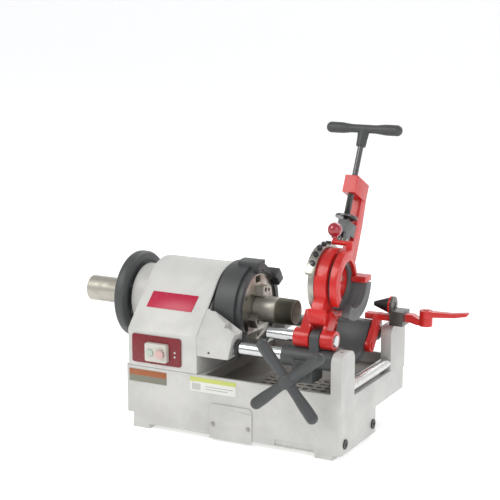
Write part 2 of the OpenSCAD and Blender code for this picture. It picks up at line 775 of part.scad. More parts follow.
// Feed screw, collar disc, rod and tee handle
module feed_screw() color([0.30, 0.31, 0.32]) cutter_place() translate([cutter_x, 0, 0]) {
    translate([0, 0, 85]) cylinder(r = 8, h = 121 + 4);
    translate([0, 0, 105]) cylinder(r = 27, h = 5);
    translate([0, 0, 209]) cylinder(r = 7, h = 80);
    translate([0, 0, 284]) cylinder(r = 12.5, h = 40);
    rod_x(10.5, -74, 74, 0, 328);
    for (side = [-1, 1]) {
        rod_x(13, side < 0 ? -84 : 52, side < 0 ? -52 : 84, 0, 328);
        translate([side * 84, 0, 328]) sphere(r = 13);
    }
}

// ---------- reamer ----------

// Reamer arm: hinge pin, hub, web, the block that holds the reamer and the lever's pivot
module reamer_arm() color([0.82, 0.12, 0.10]) difference() {
    union() {
        rod_x(8, 206, 243, reamer_hinge[0], reamer_hinge[1]);
        rod_x(15, 226.5, 240, reamer_hinge[0], reamer_hinge[1]);
        slab_x(228, 240) polygon([[58, 205], [82, 190], [126, 244], [126, 262], [104, 262]]);
        block([205, 105, 248], [272, 127, 261]);
        block([268, 98, 240], [300, 142, 273]);
        rod_x(21, 262, 271, rod_y, rod_z);
        slab_y(rod_y - 9, rod_y + 9) polygon([[296, 249], [312, 249], [328, 245], [348, 245],
            [348, 257], [334, 259], [318, 267], [296, 267]]);
        translate([lever_x, rod_y, 244]) cylinder(r = 15, h = 18);
        translate([lever_x, rod_y, 250]) cylinder(r = 6, h = 31);
    }
    rod_x(9, 261, 272, rod_y, rod_z);
}

// Fluted reamer on its shank
module reamer_cone() color([0.14, 0.14, 0.15]) difference() {
    union() {
        rod_x(9, 260, 270, rod_y, rod_z);
        translate([222, rod_y, rod_z]) rotate([0, 90, 0]) cylinder(r1 = 5, r2 = 19, h = 39.9);
    }
    for (a = [0:60:300]) translate([222, rod_y, rod_z]) rotate([a, 0, 0])
        rotate([0, -18, 0]) block([-5, 0, 3], [37, 3, 20]);
}

// Flat lever that swings the reamer in and folds aside
module reamer_handle() color([0.83, 0.12, 0.10]) translate([lever_x, rod_y, 262.3])
    difference() {
        union() {
            cylinder(r = 15, h = 17);
            slab_y(-9, 9) polygon([[8, 3], [70, 9], [97, 15], [99, 19], [96, 22], [60, 17],
                [8, 16]]);
        }
        translate([0, 0, -1]) cylinder(r = 6 + fit, h = 19);
    }

// ---------- one line for each sub-part ----------

base_casting();
chip_tray();
tank_cover();
cover_screws();
end_plugs();
front_bar();
rear_bar();
bar_collars();
bar_screws();
carry_tube();
headstock_frame();
headstock_cover();
rear_cover();
badge_plate();
switch_plate();
switch_box();
start_button();
stop_button();
data_plate();
label_plate();
motor();
motor_pinion();
countershaft();
oil_pump();
oil_pipe();
spindle_bearings();
spindle();
chuck_body();
hammer_wheel();
jaw_1();
jaw_2();
jaw_3();
rear_wheel();
rear_jaw_1();
rear_jaw_2();
rear_jaw_3();
workpiece_pipe();
carriage();
rack_pinion();
cross_handle();
head_pivot();
head_body();
size_ring();
size_bolts();
cam_plate();
head_lever();
head_knob();
chaser_1();
chaser_2();
chaser_3();
chaser_4();
cutter_frame();
cutter_slide();
cutter_wheel();
roller_1();
roller_2();
feed_screw();
reamer_arm();
reamer_cone();
reamer_handle();
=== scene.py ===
"""Bench pipe threading machine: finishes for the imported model, and its finer shaped pieces.

Every sub-assembly is a class that dresses its CAD nodes and adds the pieces that need a closer
shape, each one a numpy surface. Metres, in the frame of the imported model: X along the spindle,
Y away from the operator, Z up, origin on the bench.
"""

from __future__ import annotations

import logging
import math
from dataclasses import dataclass, replace
from enum import Enum
from typing import Mapping, Sequence, Union

import bmesh
import bpy
import numpy as np
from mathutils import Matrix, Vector


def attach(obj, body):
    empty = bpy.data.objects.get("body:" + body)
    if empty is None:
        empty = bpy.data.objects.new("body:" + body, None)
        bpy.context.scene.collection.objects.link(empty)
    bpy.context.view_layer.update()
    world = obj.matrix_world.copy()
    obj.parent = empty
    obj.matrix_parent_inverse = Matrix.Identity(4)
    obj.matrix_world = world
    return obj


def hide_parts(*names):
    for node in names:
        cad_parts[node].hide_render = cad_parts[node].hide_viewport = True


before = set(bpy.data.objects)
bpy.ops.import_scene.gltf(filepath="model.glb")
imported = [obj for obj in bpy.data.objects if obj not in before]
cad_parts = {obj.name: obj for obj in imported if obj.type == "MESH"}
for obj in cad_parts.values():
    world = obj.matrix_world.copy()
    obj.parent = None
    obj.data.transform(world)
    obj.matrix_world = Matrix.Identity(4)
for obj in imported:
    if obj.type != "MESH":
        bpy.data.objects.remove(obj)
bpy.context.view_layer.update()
LOG = logging.getLogger("threading_machine")
AXIS_Z = 0.27  # height of the spindle axis above the bench
BAR = (0.142, 0.213)  # Y and Z of the rear bar; the front bar lies at -Y
INCH = 0.0254

Colour = tuple[float, float, float]
Number = Union[float, "Value"]


# ---------- shader writing ----------


class Value:
    """A shader socket that carries a number, with the arithmetic that the finishes use."""

    def __init__(self, graph: "Graph", socket: bpy.types.NodeSocket) -> None:
        """Keeps the socket and the graph that it belongs to."""
        self.graph = graph
        self.socket = socket

    def _math(self, operation: str, left: Number, right: Number) -> "Value":
        """Adds one Math node.

        Args:
            operation: the Math node's operation.
            left: its first number.
            right: its second number.

        Returns:
            The node's result.
        """
        inputs: dict[int | str, Number] = {0: left, 1: right}
        return self.graph.value("ShaderNodeMath", {"operation": operation}, inputs)

    def __add__(self, other: Number) -> "Value":
        """This plus another."""
        return self._math("ADD", self, other)

    __radd__ = __add__

    def __sub__(self, other: Number) -> "Value":
        """This minus another."""
        return self._math("SUBTRACT", self, other)

    def __rsub__(self, other: Number) -> "Value":
        """Another minus this."""
        return self._math("SUBTRACT", other, self)

    def __mul__(self, other: Number) -> "Value":
        """This times another."""
        return self._math("MULTIPLY", self, other)

    __rmul__ = __mul__

    def __gt__(self, other: Number) -> "Value":
        """One where this is the greater, else zero."""
        return self._math("GREATER_THAN", self, other)

    def __lt__(self, other: Number) -> "Value":
        """One where this is the less, else zero."""
        return self._math("LESS_THAN", self, other)

    def between(self, low: float, high: float) -> "Value":
        """A smooth step from zero at low to one at high."""
        return self.graph.value(
            "ShaderNodeMapRange",
            {"interpolation_type": "SMOOTHSTEP"},
            {"Value": self, "From Min": low, "From Max": high},
        )


class Graph:
    """The node tree of one material, written from top to bottom."""

    def __init__(self, name: str) -> None:
        """Starts an empty material.

        Args:
            name: the material's name.
        """
        self.material = bpy.data.materials.new(name)
        self.material.use_nodes = True
        self.tree = self.material.node_tree
        self.tree.nodes.clear()
        self.coords = self.node("ShaderNodeTexCoord").outputs["Object"]
        self.row = 0

    def node(
        self,
        kind: str,
        settings: Mapping[str, object] | None = None,
        inputs: Mapping[int | str, object] | None = None,
    ) -> bpy.types.Node:
        """Adds a node of any kind.

        Args:
            kind: the node's type.
            settings: properties, which are set first; "stops" fills a colour ramp.
            inputs: socket names or numbers, with the numbers, colours or links that they take.

        Returns:
            The node.
        """
        made = self.tree.nodes.new(kind)
        for key, setting in (settings or {}).items():
            if key == "stops":
                ramp = made.color_ramp
                while len(ramp.elements) < len(setting):
                    ramp.elements.new(0.5)
                for element, (place, colour) in zip(ramp.elements, setting):
                    element.position, element.color = place, (*colour, 1.0)
            else:
                setattr(made, key, setting)
        for key, item in (inputs or {}).items():
            socket = made.inputs[key]
            if isinstance(item, Value):
                self.tree.links.new(item.socket, socket)
            elif isinstance(item, bpy.types.NodeSocket):
                self.tree.links.new(item, socket)
            elif isinstance(item, tuple) and socket.type == "RGBA" and len(item) == 3:
                socket.default_value = (*item, 1.0)
            else:
                socket.default_value = item
        return made

    def value(
        self,
        kind: str,
        settings: Mapping[str, object] | None = None,
        inputs: Mapping[int | str, object] | None = None,
        output: int | str = 0,
    ) -> Value:
        """Adds a node and returns one of its outputs, ready for arithmetic."""
        return Value(self, self.node(kind, settings, inputs).outputs[output])

    def place(self, scale: Sequence[float] = (1, 1, 1), move: Sequence[float] = (0, 0, 0)) -> Value:
        """Object coordinates, moved and then stretched.

        Args:
            scale: how many times finer the pattern is along each axis.
            move: the point that becomes the pattern's origin.

        Returns:
            The vector, as a socket to link.
        """
        moved = self.value(
            "ShaderNodeVectorMath", {"operation": "SUBTRACT"}, {0: self.coords, 1: tuple(move)}
        )
        return self.value(
            "ShaderNodeVectorMath", {"operation": "MULTIPLY"}, {0: moved, 1: tuple(scale)}
        )

    def axis(self, letter: str) -> Value:
        """One object coordinate, in metres."""
        return self.value("ShaderNodeSeparateXYZ", None, {0: self.coords}, letter)

    def noise(self, scale: float, detail: float = 3.0, vector: Value | None = None) -> Value:
        """Even noise from zero to one.

        Args:
            scale: spots to the metre.
            detail: how many finer layers it has.
            vector: coordinates, or none for plain object coordinates.

        Returns:
            The noise.
        """
        return self.value(
            "ShaderNodeTexNoise",
            None,
            {
                "Vector": vector or self.coords,
                "Scale": scale,
                "Detail": detail,
                "Roughness": 0.55,
            },
        )

    def mix(self, factor: Number, first: object, second: object, blend: str = "MIX") -> Value:
        """A colour between two others.

        Args:
            factor: zero gives the first, one the second.
            first: a colour or a link.
            second: a colour or a link.
            blend: the Mix node's way of mixing.

        Returns:
            The colour.
        """
        made = self.node(
            "ShaderNodeMix",
            {"data_type": "RGBA", "blend_type": blend},
            {0: factor, 6: first, 7: second},
        )
        return Value(self, made.outputs[2])

    def bump(self, height: Value, distance: float, strength: float = 1.0) -> Value:
        """A normal that a height bends, distance metres from zero to one."""
        return self.value(
            "ShaderNodeBump", None, {"Height": height, "Distance": distance, "Strength": strength}
        )

    def finish(self, **inputs: object) -> bpy.types.Material:
        """Ends the tree in a Principled BSDF.

        Args:
            inputs: its sockets, with underscores for spaces.

        Returns:
            The material.
        """
        shader = self.node(
            "ShaderNodeBsdfPrincipled",
            None,
            {key.replace("_", " "): item for key, item in inputs.items()},
        )
        self.node("ShaderNodeOutputMaterial", None, {"Surface": shader.outputs[0]})
        return self.material


# ---------- finishes ----------


class Grain(Enum):
    """Which way the tool marks run on a piece of metal."""

    NONE = "none"
    FACED = "circles about the spindle axis on a faced surface"


@dataclass(frozen=True)
class Stretch:
    """A box of object coordinates where a casting shows something other than its paint."""

    low: tuple[float, float, float]
    high: tuple[float, float, float]
    colour: Colour
    metal: float = 0.0


@dataclass(frozen=True)
class Paint:
    """Sprayed enamel over a casting or sheet: worn edges, grime and a fine skin."""

    colour: Colour
    rough: float = 0.38
    cast: float = 0.00035
    cast_scale: float = 130.0
    skin: float = 0.00006
    grime: float = 0.25
    chips: float = 0.5
    under: Colour = (0.32, 0.31, 0.29)
    coat: float = 0.0
    bare: Stretch | None = None

    def material(self, name: str) -> bpy.types.Material:
        """Writes the paint: broad tone, grime, painted shade in the hollows, worn edges, then the skin.
        """
        g = Graph(name)
        broad = g.noise(9.0, 4.0)
        fine = g.noise(260.0, 2.0)
        darker = tuple(c * 0.88 for c in self.colour)
        lighter = tuple(min(1.0, c * 1.05 + 0.003) for c in self.colour)
        tone = g.mix(broad.between(0.35, 0.68), darker, lighter)
        tone = g.mix((fine - 0.5) * 0.10 + 0.03, tone, darker)
        spots = g.noise(55.0, 5.0).between(0.58, 0.80) * self.grime
        tone = g.mix(spots, tone, tuple(c * 0.6 for c in self.colour))
        edge = g.value("ShaderNodeNewGeometry", None, None, "Pointiness")
        worn = edge.between(0.55, 0.62) * g.noise(70.0, 4.0).between(0.54, 0.64) * self.chips
        # Painted shade: where pointiness is low (creases, hollows), the paint is darkened towards a
        # third of its colour.
        hollow = (1.0 - edge.between(0.40, 0.49)) * 0.7
        tone = g.mix(hollow, tone, tuple(c * 0.35 for c in self.colour))
        tone = g.mix(worn, tone, self.under)
        height = g.noise(self.cast_scale, 3.0) * 0.75 + g.noise(900.0, 2.0) * 0.25
        normal = g.bump(height, self.cast + self.skin)
        rough = self.rough + (broad - 0.5) * 0.16 + spots * 0.25 + worn * 0.1
        coat: Number = self.coat
        metal: Number = 0.0
        if self.bare:
            inside: Number = 1.0
            for letter, low, high in zip("XYZ", self.bare.low, self.bare.high):
                place = g.axis(letter)
                inside = (place > low) * (place < high) * inside
            stain = g.mix(fine * 0.6, self.bare.colour, tuple(c * 0.55 for c in self.bare.colour))
            tone = g.mix(inside, tone, stain)
            metal, coat = inside * self.bare.metal, (1.0 - inside) * self.coat
        return g.finish(
            Base_Color=tone, Metallic=metal, Roughness=rough, Normal=normal, Coat_Weight=coat,
            IOR=1.5,
        )


@dataclass(frozen=True)
class Steel:
    """Bare machined steel, with tool marks, stains and a film of oil."""

    colour: Colour
    rough: float = 0.3
    grain: Grain = Grain.NONE
    marks: float = 0.00003
    stain: float = 0.3
    stain_colour: Colour = (0.16, 0.13, 0.10)
    lines: float = 2600.0

    def material(self, name: str) -> bpy.types.Material:
        """Writes the steel: tool marks by the grain, then stains that dull it, then a painted highlight
        along sharp edges.
        """
        g = Graph(name)
        if self.grain is Grain.FACED:
            flat = g.place((0.0, 1.0, 1.0), (0.0, 0.0, AXIS_Z))
            radius = g.value("ShaderNodeVectorMath", {"operation": "LENGTH"}, {0: flat}, "Value")
            rings = g.value("ShaderNodeCombineXYZ", None, {0: radius * self.lines})
            mark = g.noise(1.0, 3.0, rings)
        else:
            mark = g.noise(500.0, 3.0)
        broad = g.noise(14.0, 5.0)
        stain = g.noise(42.0, 6.0).between(0.50, 0.72) * self.stain
        edge = g.value("ShaderNodeNewGeometry", None, None, "Pointiness")
        bright = tuple(min(1.0, c * 1.25) for c in self.colour)
        dark = tuple(c * 0.78 for c in self.colour)
        tone = g.mix(mark.between(0.3, 0.7), dark, self.colour)
        tone = g.mix(broad.between(0.4, 0.7) * 0.35, tone, bright)
        tone = g.mix(stain, tone, self.stain_colour)
        # Painted highlight: where pointiness is high (sharp convex edges), the steel is lightened
        # towards its bright colour.
        tone = g.mix(edge.between(0.53, 0.60) * 0.6, tone, bright)
        rough = self.rough + (mark - 0.5) * 0.22 + stain * 0.35 + (broad - 0.5) * 0.1
        return g.finish(
            Base_Color=tone,
            Metallic=1.0 - stain * 0.6,
            Roughness=rough,
            Normal=g.bump(mark, self.marks),
        )


@dataclass(frozen=True)
class Moulded:
    """Moulded plastic or rubber with a fine spark-eroded skin."""

    colour: Colour
    rough: float = 0.5
    skin: float = 0.00005
    dust: float = 0.2
    coat: float = 0.0

    def material(self, name: str) -> bpy.types.Material:
        """Writes the plastic: even tone, fine skin, a little dust."""
        g = Graph(name)
        fine = g.noise(1400.0, 2.0)
        dust = g.noise(38.0, 5.0).between(0.5, 0.75) * self.dust
        pale = tuple(min(1.0, c * 0.6 + 0.18) for c in self.colour)
        tone = g.mix(dust, g.mix(fine * 0.15, self.colour, pale), pale)
        rough = self.rough + dust * 0.3 + (fine - 0.5) * 0.1
        return g.finish(
            Base_Color=tone, Roughness=rough, Normal=g.bump(fine, self.skin), Coat_Weight=self.coat
        )


@dataclass(frozen=True)
class Panel:
    """One printed field of a plate: a rectangle in X and Z, in metres."""

    low: tuple[float, float]
    high: tuple[float, float]
    colour: Colour


@dataclass(frozen=True)
class Printed:
    """A plate with plain printed fields and no lettering."""

    ground: Colour
    panels: tuple[Panel, ...] = ()
    rough: float = 0.35

    def material(self, name: str) -> bpy.types.Material:
        """Writes the ground and lays each field over it."""
        g = Graph(name)
        x, z = g.axis("X"), g.axis("Z")
        scuff = g.noise(120.0, 5.0).between(0.55, 0.75)
        tone: object = g.mix(g.noise(30.0, 3.0) * 0.3, self.ground, tuple(c * 0.8 for c in self.ground))
        for panel in self.panels:
            inside = (x > panel.low[0]) * (x < panel.high[0])
            inside = inside * (z > panel.low[1]) * (z < panel.high[1])
            tone = g.mix(inside, tone, panel.colour)
        tone = g.mix(scuff * 0.18, tone, (0.30, 0.29, 0.27))
        return g.finish(
            Base_Color=tone,
            Roughness=self.rough + scuff * 0.2,
            Normal=g.bump(g.noise(600.0, 2.0), 0.00003),
        )


GREY_CAST = Paint((0.575, 0.57, 0.545), rough=0.44, cast=0.00030, grime=0.10, chips=0.10)
GREY_SHEET = Paint((0.60, 0.595, 0.57), rough=0.36, cast=0.00008, cast_scale=320.0, grime=0.06,
                   chips=0.06)
RED_CAST = Paint((0.62, 0.013, 0.010), rough=0.34, cast=0.0005, cast_scale=95.0, grime=0.16,
                 chips=0.30, under=(0.26, 0.10, 0.09), coat=0.25)
DARK_CAST = Paint((0.062, 0.066, 0.067), rough=0.46, cast=0.0005, cast_scale=110.0, grime=0.12,
                  chips=0.35, under=(0.22, 0.22, 0.215))
PAN_CAST = replace(GREY_CAST, bare=Stretch((-0.068, -0.1618, 0.05), (0.2448, 0.1868, 0.1452),
                                           (0.235, 0.215, 0.185)))
REAMER_CAST = replace(RED_CAST, bare=Stretch((0.2665, 0.0, 0.238), (0.301, 1.0, 0.31),
                                             (0.150, 0.142, 0.130), 0.7))
MID_CAST = Paint((0.12, 0.122, 0.125), rough=0.5, grime=0.2, chips=0.3)
GROUND_BAR = Steel((0.60, 0.61, 0.61), rough=0.20, grain=Grain.NONE, marks=0.000003, stain=0.12)
TURNED = Steel((0.46, 0.44, 0.39), rough=0.32, grain=Grain.FACED, marks=0.00002, stain=0.30)
MILLED = Steel((0.42, 0.40, 0.36), rough=0.38, grain=Grain.NONE, stain=0.4)
DARK_STEEL = Steel((0.085, 0.085, 0.09), rough=0.38, grain=Grain.NONE, stain=0.2,
                   stain_colour=(0.03, 0.028, 0.025))


@dataclass(frozen=True)
class Threaded:
    """Drawn pipe, pale where it is plain and dark with cutting oil where the thread is cut."""

    colour: Colour = (0.50, 0.475, 0.42)
    cut: Colour = (0.115, 0.110, 0.085)
    inside: Colour = (0.56, 0.52, 0.46)
    start: float = 0.037
    bore: float = 0.0275

    def material(self, name: str) -> bpy.types.Material:
        """Writes the pipe: scale and draw marks, then the oily band, then the pale bore."""
        g = Graph(name)
        flat = g.place((0.0, 1.0, 1.0), (0.0, 0.0, AXIS_Z))
        radius = g.value("ShaderNodeVectorMath", {"operation": "LENGTH"}, {0: flat}, "Value")
        drawn = g.noise(1.0, 4.0, g.place((12.0, 900.0, 900.0)))
        scale = g.noise(36.0, 5.0).between(0.42, 0.72)
        tone = g.mix(drawn.between(0.3, 0.7) * 0.4, self.colour, tuple(c * 0.7 for c in self.colour))
        tone = g.mix(scale * 0.35, tone, (0.26, 0.22, 0.17))
        x = g.axis("X")
        band = x.between(self.start, self.start + 0.004)
        crest = radius.between(0.0288, 0.0300)
        thread = g.mix(crest * 0.55, self.cut, (0.34, 0.32, 0.26))
        tone = g.mix(band, tone, thread)
        hollow = 1.0 - radius.between(self.bore - 0.0006, self.bore)
        tone = g.mix(hollow, tone, self.inside)
        return g.finish(
            Base_Color=tone,
            Metallic=0.75 - scale * 0.3,
            Roughness=0.36 + scale * 0.2 + drawn * 0.1,
            Normal=g.bump(drawn, 0.00003),
        )


# ---------- surfaces ----------


class Surface:
    """Meshes worked out as whole numpy arrays."""

    @staticmethod
    def from_grid(name: str, points: np.ndarray, wrap_u: bool = False, wrap_v: bool = False,
                  caps: bool = False) -> bpy.types.Object:
        """Joins a grid of points with quads.

        Args:
            name: the new object's name.
            points: an array of shape (u, v, 3).
            wrap_u: joins the last row to the first.
            wrap_v: joins the last column to the first.
            caps: closes the first and last row with one face each.

        Returns:
            The object, linked to the scene.
        """
        nu, nv = points.shape[:2]
        u = np.arange(nu if wrap_u else nu - 1)[:, None]
        v = np.arange(nv if wrap_v else nv - 1)[None, :]
        u2, v2 = (u + 1) % nu, (v + 1) % nv
        quads = np.stack(
            [np.broadcast_to(a, (u.size, v.size)) for a in
             (u * nv + v, u * nv + v2, u2 * nv + v2, u2 * nv + v)], axis=-1
        ).reshape(-1, 4)
        faces: list[Sequence[int]] = quads.tolist()
        if caps:
            faces.append(list(range(nv))[::-1])
            faces.append([(nu - 1) * nv + i for i in range(nv)])
        return Surface.from_faces(name, points.reshape(-1, 3), faces)

    @staticmethod
    def from_shells(name: str, shells: Sequence[np.ndarray]) -> bpy.types.Object:
        """Joins several turned shells, each a (u, v, 3) grid closed round v, into one object.

        Args:
            name: the new object's name.
            shells: the grids.

        Returns:
            The object.
        """
        faces: list[list[int]] = []
        start = 0
        for grid in shells:
            nu, nv = grid.shape[:2]
            u, v = np.arange(nu - 1)[:, None], np.arange(nv)[None, :]
            w = (v + 1) % nv
            quads = np.stack(
                [start + u * nv + v, start + u * nv + w, start + (u + 1) * nv + w,
                 start + (u + 1) * nv + v], axis=-1)
            faces.extend(quads.reshape(-1, 4).tolist())
            start += nu * nv
        points = np.concatenate([grid.reshape(-1, 3) for grid in shells])
        return Surface.from_faces(name, points, faces)

    @staticmethod
    def from_faces(name: str, points: np.ndarray,
                   faces: Sequence[Sequence[int]]) -> bpy.types.Object:
        """Makes an object of points and faces, smooth, with its faces outward."""
        mesh = bpy.data.meshes.new(name)
        mesh.from_pydata(points.tolist(), [], faces)
        mesh.update()
        made = bpy.data.objects.new(name, mesh)
        bpy.context.scene.collection.objects.link(made)
        Surface.tidy(made)
        return made

    @staticmethod
    def tidy(made: bpy.types.Object, angle: float = 32.0) -> None:
        """Merges doubles, turns faces outward and shades all but sharp edges smooth."""
        work = bmesh.new()
        work.from_mesh(made.data)
        bmesh.ops.remove_doubles(work, verts=work.verts, dist=2e-6)
        bmesh.ops.recalc_face_normals(work, faces=work.faces)
        work.to_mesh(made.data)
        work.free()
        made.data.shade_smooth()
        made.data.set_sharp_from_angle(angle=math.radians(angle))

    @staticmethod
    def lathe(name: str, profile: np.ndarray, centre: Sequence[float], axis: Sequence[float],
              sides: int = 64) -> bpy.types.Object:
        """Turns a profile about an axis: at angle t a point is centre + a along the axis + r
        times the turning direction.

        Args:
            name: the new object's name.
            profile: rows of (distance along the axis, radius); a radius of zero closes it.
            centre: the point that distances are measured from.
            axis: the axis direction.
            sides: how many steps there are in a turn.

        Returns:
            The object.
        """
        return Surface.from_grid(name, Surface.turned(profile, centre, axis, sides), wrap_v=True)

    @staticmethod
    def turned(profile: np.ndarray, centre: Sequence[float], axis: Sequence[float],
               sides: int = 64) -> np.ndarray:
        """The grid of a turned profile, with the same arguments as lathe."""
        along, side, up = Surface.basis(axis)
        t = np.linspace(0, 2 * np.pi, sides, endpoint=False)
        ring = np.cos(t)[:, None] * side + np.sin(t)[:, None] * up
        return (np.asarray(centre) + profile[:, None, 0:1] * along
                + profile[:, None, 1:2] * ring[None])

    @staticmethod
    def threaded(along: np.ndarray, core: np.ndarray, depth: np.ndarray, pitch: float,
                 centre: Sequence[float], axis: Sequence[float], sides: int = 72) -> np.ndarray:
        """A screw's grid: at distance a and angle t the radius is the core's less the depth times
        a triangle wave of a / pitch - t / 2 pi, so the groove climbs one pitch in a turn.

        Args:
            along: distances along the axis.
            core: the outer radius at each distance.
            depth: the groove's depth at each distance.
            pitch: the distance between turns.
            centre: the point that distances are measured from.
            axis: the axis direction.
            sides: how many steps there are in a turn.

        Returns:
            The grid.
        """
        ahead, side, up = Surface.basis(axis)
        t = np.linspace(0, 2 * np.pi, sides, endpoint=False)
        phase = along[:, None] / pitch - t[None] / (2 * np.pi)
        wave = 1 - np.abs(2 * (phase - np.floor(phase)) - 1)
        radius = core[:, None] - depth[:, None] * wave
        return (np.asarray(centre) + along[:, None, None] * ahead
                + radius[..., None] * (np.cos(t)[:, None] * side + np.sin(t)[:, None] * up)[None])

    @staticmethod
    def basis(axis: Sequence[float]) -> tuple[np.ndarray, np.ndarray, np.ndarray]:
        """A right-handed set of unit vectors whose first is the axis."""
        along = np.asarray(axis, float) / np.linalg.norm(axis)
        helper = np.array([0.0, 0.0, 1.0]) if abs(along[2]) < 0.9 else np.array([1.0, 0.0, 0.0])
        side = np.cross(helper, along)
        side /= np.linalg.norm(side)
        return along, side, np.cross(along, side)


def smooth_step(x: np.ndarray) -> np.ndarray:
    """The curve 3 x^2 - 2 x^3 from zero to one, flat at both ends and beyond them."""
    x = np.clip(x, 0, 1)
    return x * x * (3 - 2 * x)


def rounded_profile(corners: Sequence[tuple[float, float, float]], steps: int = 5) -> np.ndarray:
    """A profile whose corners are rounded: each corner becomes a quadratic curve that starts and
    ends its radius away along the two sides that meet there.

    Args:
        corners: rows of (along, radius, rounding).
        steps: points to each rounded corner.

    Returns:
        The profile as rows of (along, radius).
    """
    pts = np.array([c[:2] for c in corners], float)
    out = [pts[0]]
    t = np.linspace(0, 1, steps)[:, None]
    for i in range(1, len(pts) - 1):
        r = corners[i][2]
        back, ahead = pts[i - 1] - pts[i], pts[i + 1] - pts[i]
        lb, la = np.linalg.norm(back), np.linalg.norm(ahead)
        a = pts[i] + back / lb * min(r, lb * 0.49)
        b = pts[i] + ahead / la * min(r, la * 0.49)
        out.extend((1 - t) ** 2 * a + 2 * t * (1 - t) * pts[i] + t**2 * b if r else pts[i][None])
    out.append(pts[-1])
    return np.array(out)


# ---------- sub-assemblies ----------


class Assembly:
    """What every sub-assembly shares: dressing CAD nodes and placing new pieces."""

    made: dict[str, bpy.types.Material] = {}

    @classmethod
    def material(cls, name: str, finish: object) -> bpy.types.Material:
        """The material of a finish, made once."""
        if name not in cls.made:
            cls.made[name] = finish.material(name)
        return cls.made[name]

    def dress(self, node: str, name: str, finish: object, soft: float = 0.0,
              steps: int = 2) -> None:
        """Gives a CAD node its finish and, where soft is not zero, rounds its edges.

        Args:
            node: the CAD node.
            name: the material's name.
            finish: the finish it is made from.
            soft: the edge radius in metres.
            steps: the segments of each rounded edge.
        """
        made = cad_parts[node]
        made.data.materials.clear()
        made.data.materials.append(self.material(name, finish))
        weld = made.modifiers.new("Weld", "WELD")
        weld.merge_threshold = 2e-6
        if soft:
            flat = made.modifiers.new("Flat", "DECIMATE")
            flat.decimate_type = "DISSOLVE"
            flat.angle_limit = math.radians(0.4)
            bevel = made.modifiers.new("Edge", "BEVEL")
            bevel.width, bevel.segments = soft, steps
            bevel.limit_method, bevel.angle_limit = "ANGLE", math.radians(28)
            bevel.use_clamp_overlap = True
            bevel.miter_outer = "MITER_ARC"
        smooth = made.modifiers.new("Smooth", "NODES")
        smooth.node_group = smooth_by_angle()
        LOG.info("dressed %s as %s", node, name)

    def add(self, piece: bpy.types.Object, body: str, name: str, finish: object, slot: str,
            replaces: Sequence[str] = ()) -> bpy.types.Object:
        """Places a new piece on its body with its finish.

        Args:
            piece: the object.
            body: the body it rides on.
            name: the material's name.
            finish: the finish.
            slot: not used.
            replaces: CAD nodes that it stands for.

        Returns:
            The piece.
        """
        piece.data.materials.append(self.material(name, finish))
        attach(piece, body)
        if replaces:
            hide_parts(*replaces)
        LOG.info("added %s on %s", piece.name, body)
        return piece


def smooth_by_angle() -> bpy.types.NodeTree:
    """One geometry node group that shades faces smooth and keeps edges over 35 degrees sharp."""
    if "smooth_by_angle" in bpy.data.node_groups:
        return bpy.data.node_groups["smooth_by_angle"]
    group = bpy.data.node_groups.new("smooth_by_angle", "GeometryNodeTree")
    group.interface.new_socket("Geometry", in_out="INPUT", socket_type="NodeSocketGeometry")
    group.interface.new_socket("Geometry", in_out="OUTPUT", socket_type="NodeSocketGeometry")
    start, end = group.nodes.new("NodeGroupInput"), group.nodes.new("NodeGroupOutput")
    faces = group.nodes.new("GeometryNodeSetShadeSmooth")
    edges = group.nodes.new("GeometryNodeSetShadeSmooth")
    edges.domain = "EDGE"
    angle = group.nodes.new("GeometryNodeInputMeshEdgeAngle")
    test = group.nodes.new("FunctionNodeCompare")
    test.data_type, test.operation = "FLOAT", "LESS_THAN"
    test.inputs[1].default_value = math.radians(35)
    link = group.links.new
    link(start.outputs[0], faces.inputs["Geometry"])
    link(faces.outputs[0], edges.inputs["Geometry"])
    link(angle.outputs["Unsigned Angle"], test.inputs[0])
    link(test.outputs[0], edges.inputs["Shade Smooth"])
    link(edges.outputs[0], end.inputs[0])
    return group


@dataclass
class Base(Assembly):
    """Cast base with its pads and posts, chip tray, tank cover and bars."""

    edge: float = 0.0032
    cover_edge: float = 0.0016

    def build(self) -> None:
        """Dresses every piece of the base."""
        self.dress("base_casting", "pan casting", PAN_CAST, self.edge, 3)
        self.dress("chip_tray", "tray steel", Steel((0.30, 0.28, 0.25), 0.5, stain=0.8), 0.0006, 1)
        self.dress("tank_cover", "grey casting", GREY_CAST, self.cover_edge)
        self.dress("cover_screws", "screw steel", MILLED, 0.0006)
        self.dress("end_plugs", "plug black", Moulded((0.016, 0.016, 0.017), 0.45), 0.0008)
        self.dress("front_bar", "ground bar", GROUND_BAR, 0.0004, 1)
        self.dress("rear_bar", "ground bar", GROUND_BAR, 0.0004, 1)
        self.dress("bar_collars", "collar rubber", Moulded((0.018, 0.018, 0.019), 0.6), 0.001)
        self.dress("bar_screws", "blacked steel", DARK_STEEL, 0.0005)
        self.dress("carry_tube", "tube steel", Steel((0.62, 0.62, 0.61), 0.24, Grain.NONE), 0.0004, 1)


